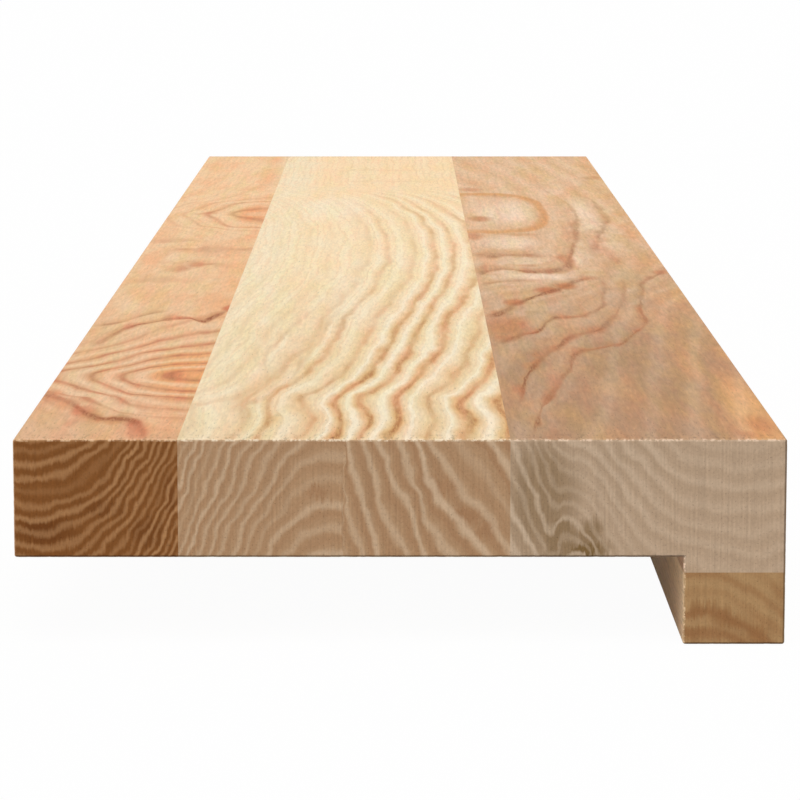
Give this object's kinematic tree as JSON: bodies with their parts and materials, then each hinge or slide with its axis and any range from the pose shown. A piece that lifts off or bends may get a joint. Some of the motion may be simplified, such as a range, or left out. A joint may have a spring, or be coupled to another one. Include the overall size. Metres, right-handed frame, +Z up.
{
  "type": "window sill board",
  "caption": "Long solid-wood window sill board, glued up from full-length staves, with eased edges and a nose strip glued under the front edge.",
  "frame": {"origin": "middle of the board's plan, level with the foot of the nose", "axes": "+X from the rear edge at the window to the nose at the room side, +Y along the board's length, +Z up, square to the level top face"},
  "size_m": [0.2, 1, 0.054],
  "materials": {
    "rear_stave_wood": "sanded, untreated, warm orange heart stave with dark brown end grain",
    "middle_stave_wood": "sanded, untreated, cream sap stave with tan growth lines",
    "front_stave_wood": "sanded, untreated, pinkish brown stave",
    "nose_strip_wood": "sanded, untreated, golden brown strip"
  },
  "bodies": {
    "root": {"rear_stave": "rear_stave_wood", "middle_stave": "middle_stave_wood", "front_stave": "front_stave_wood", "nose_strip": "nose_strip_wood"}
  },
  "joints": []
}
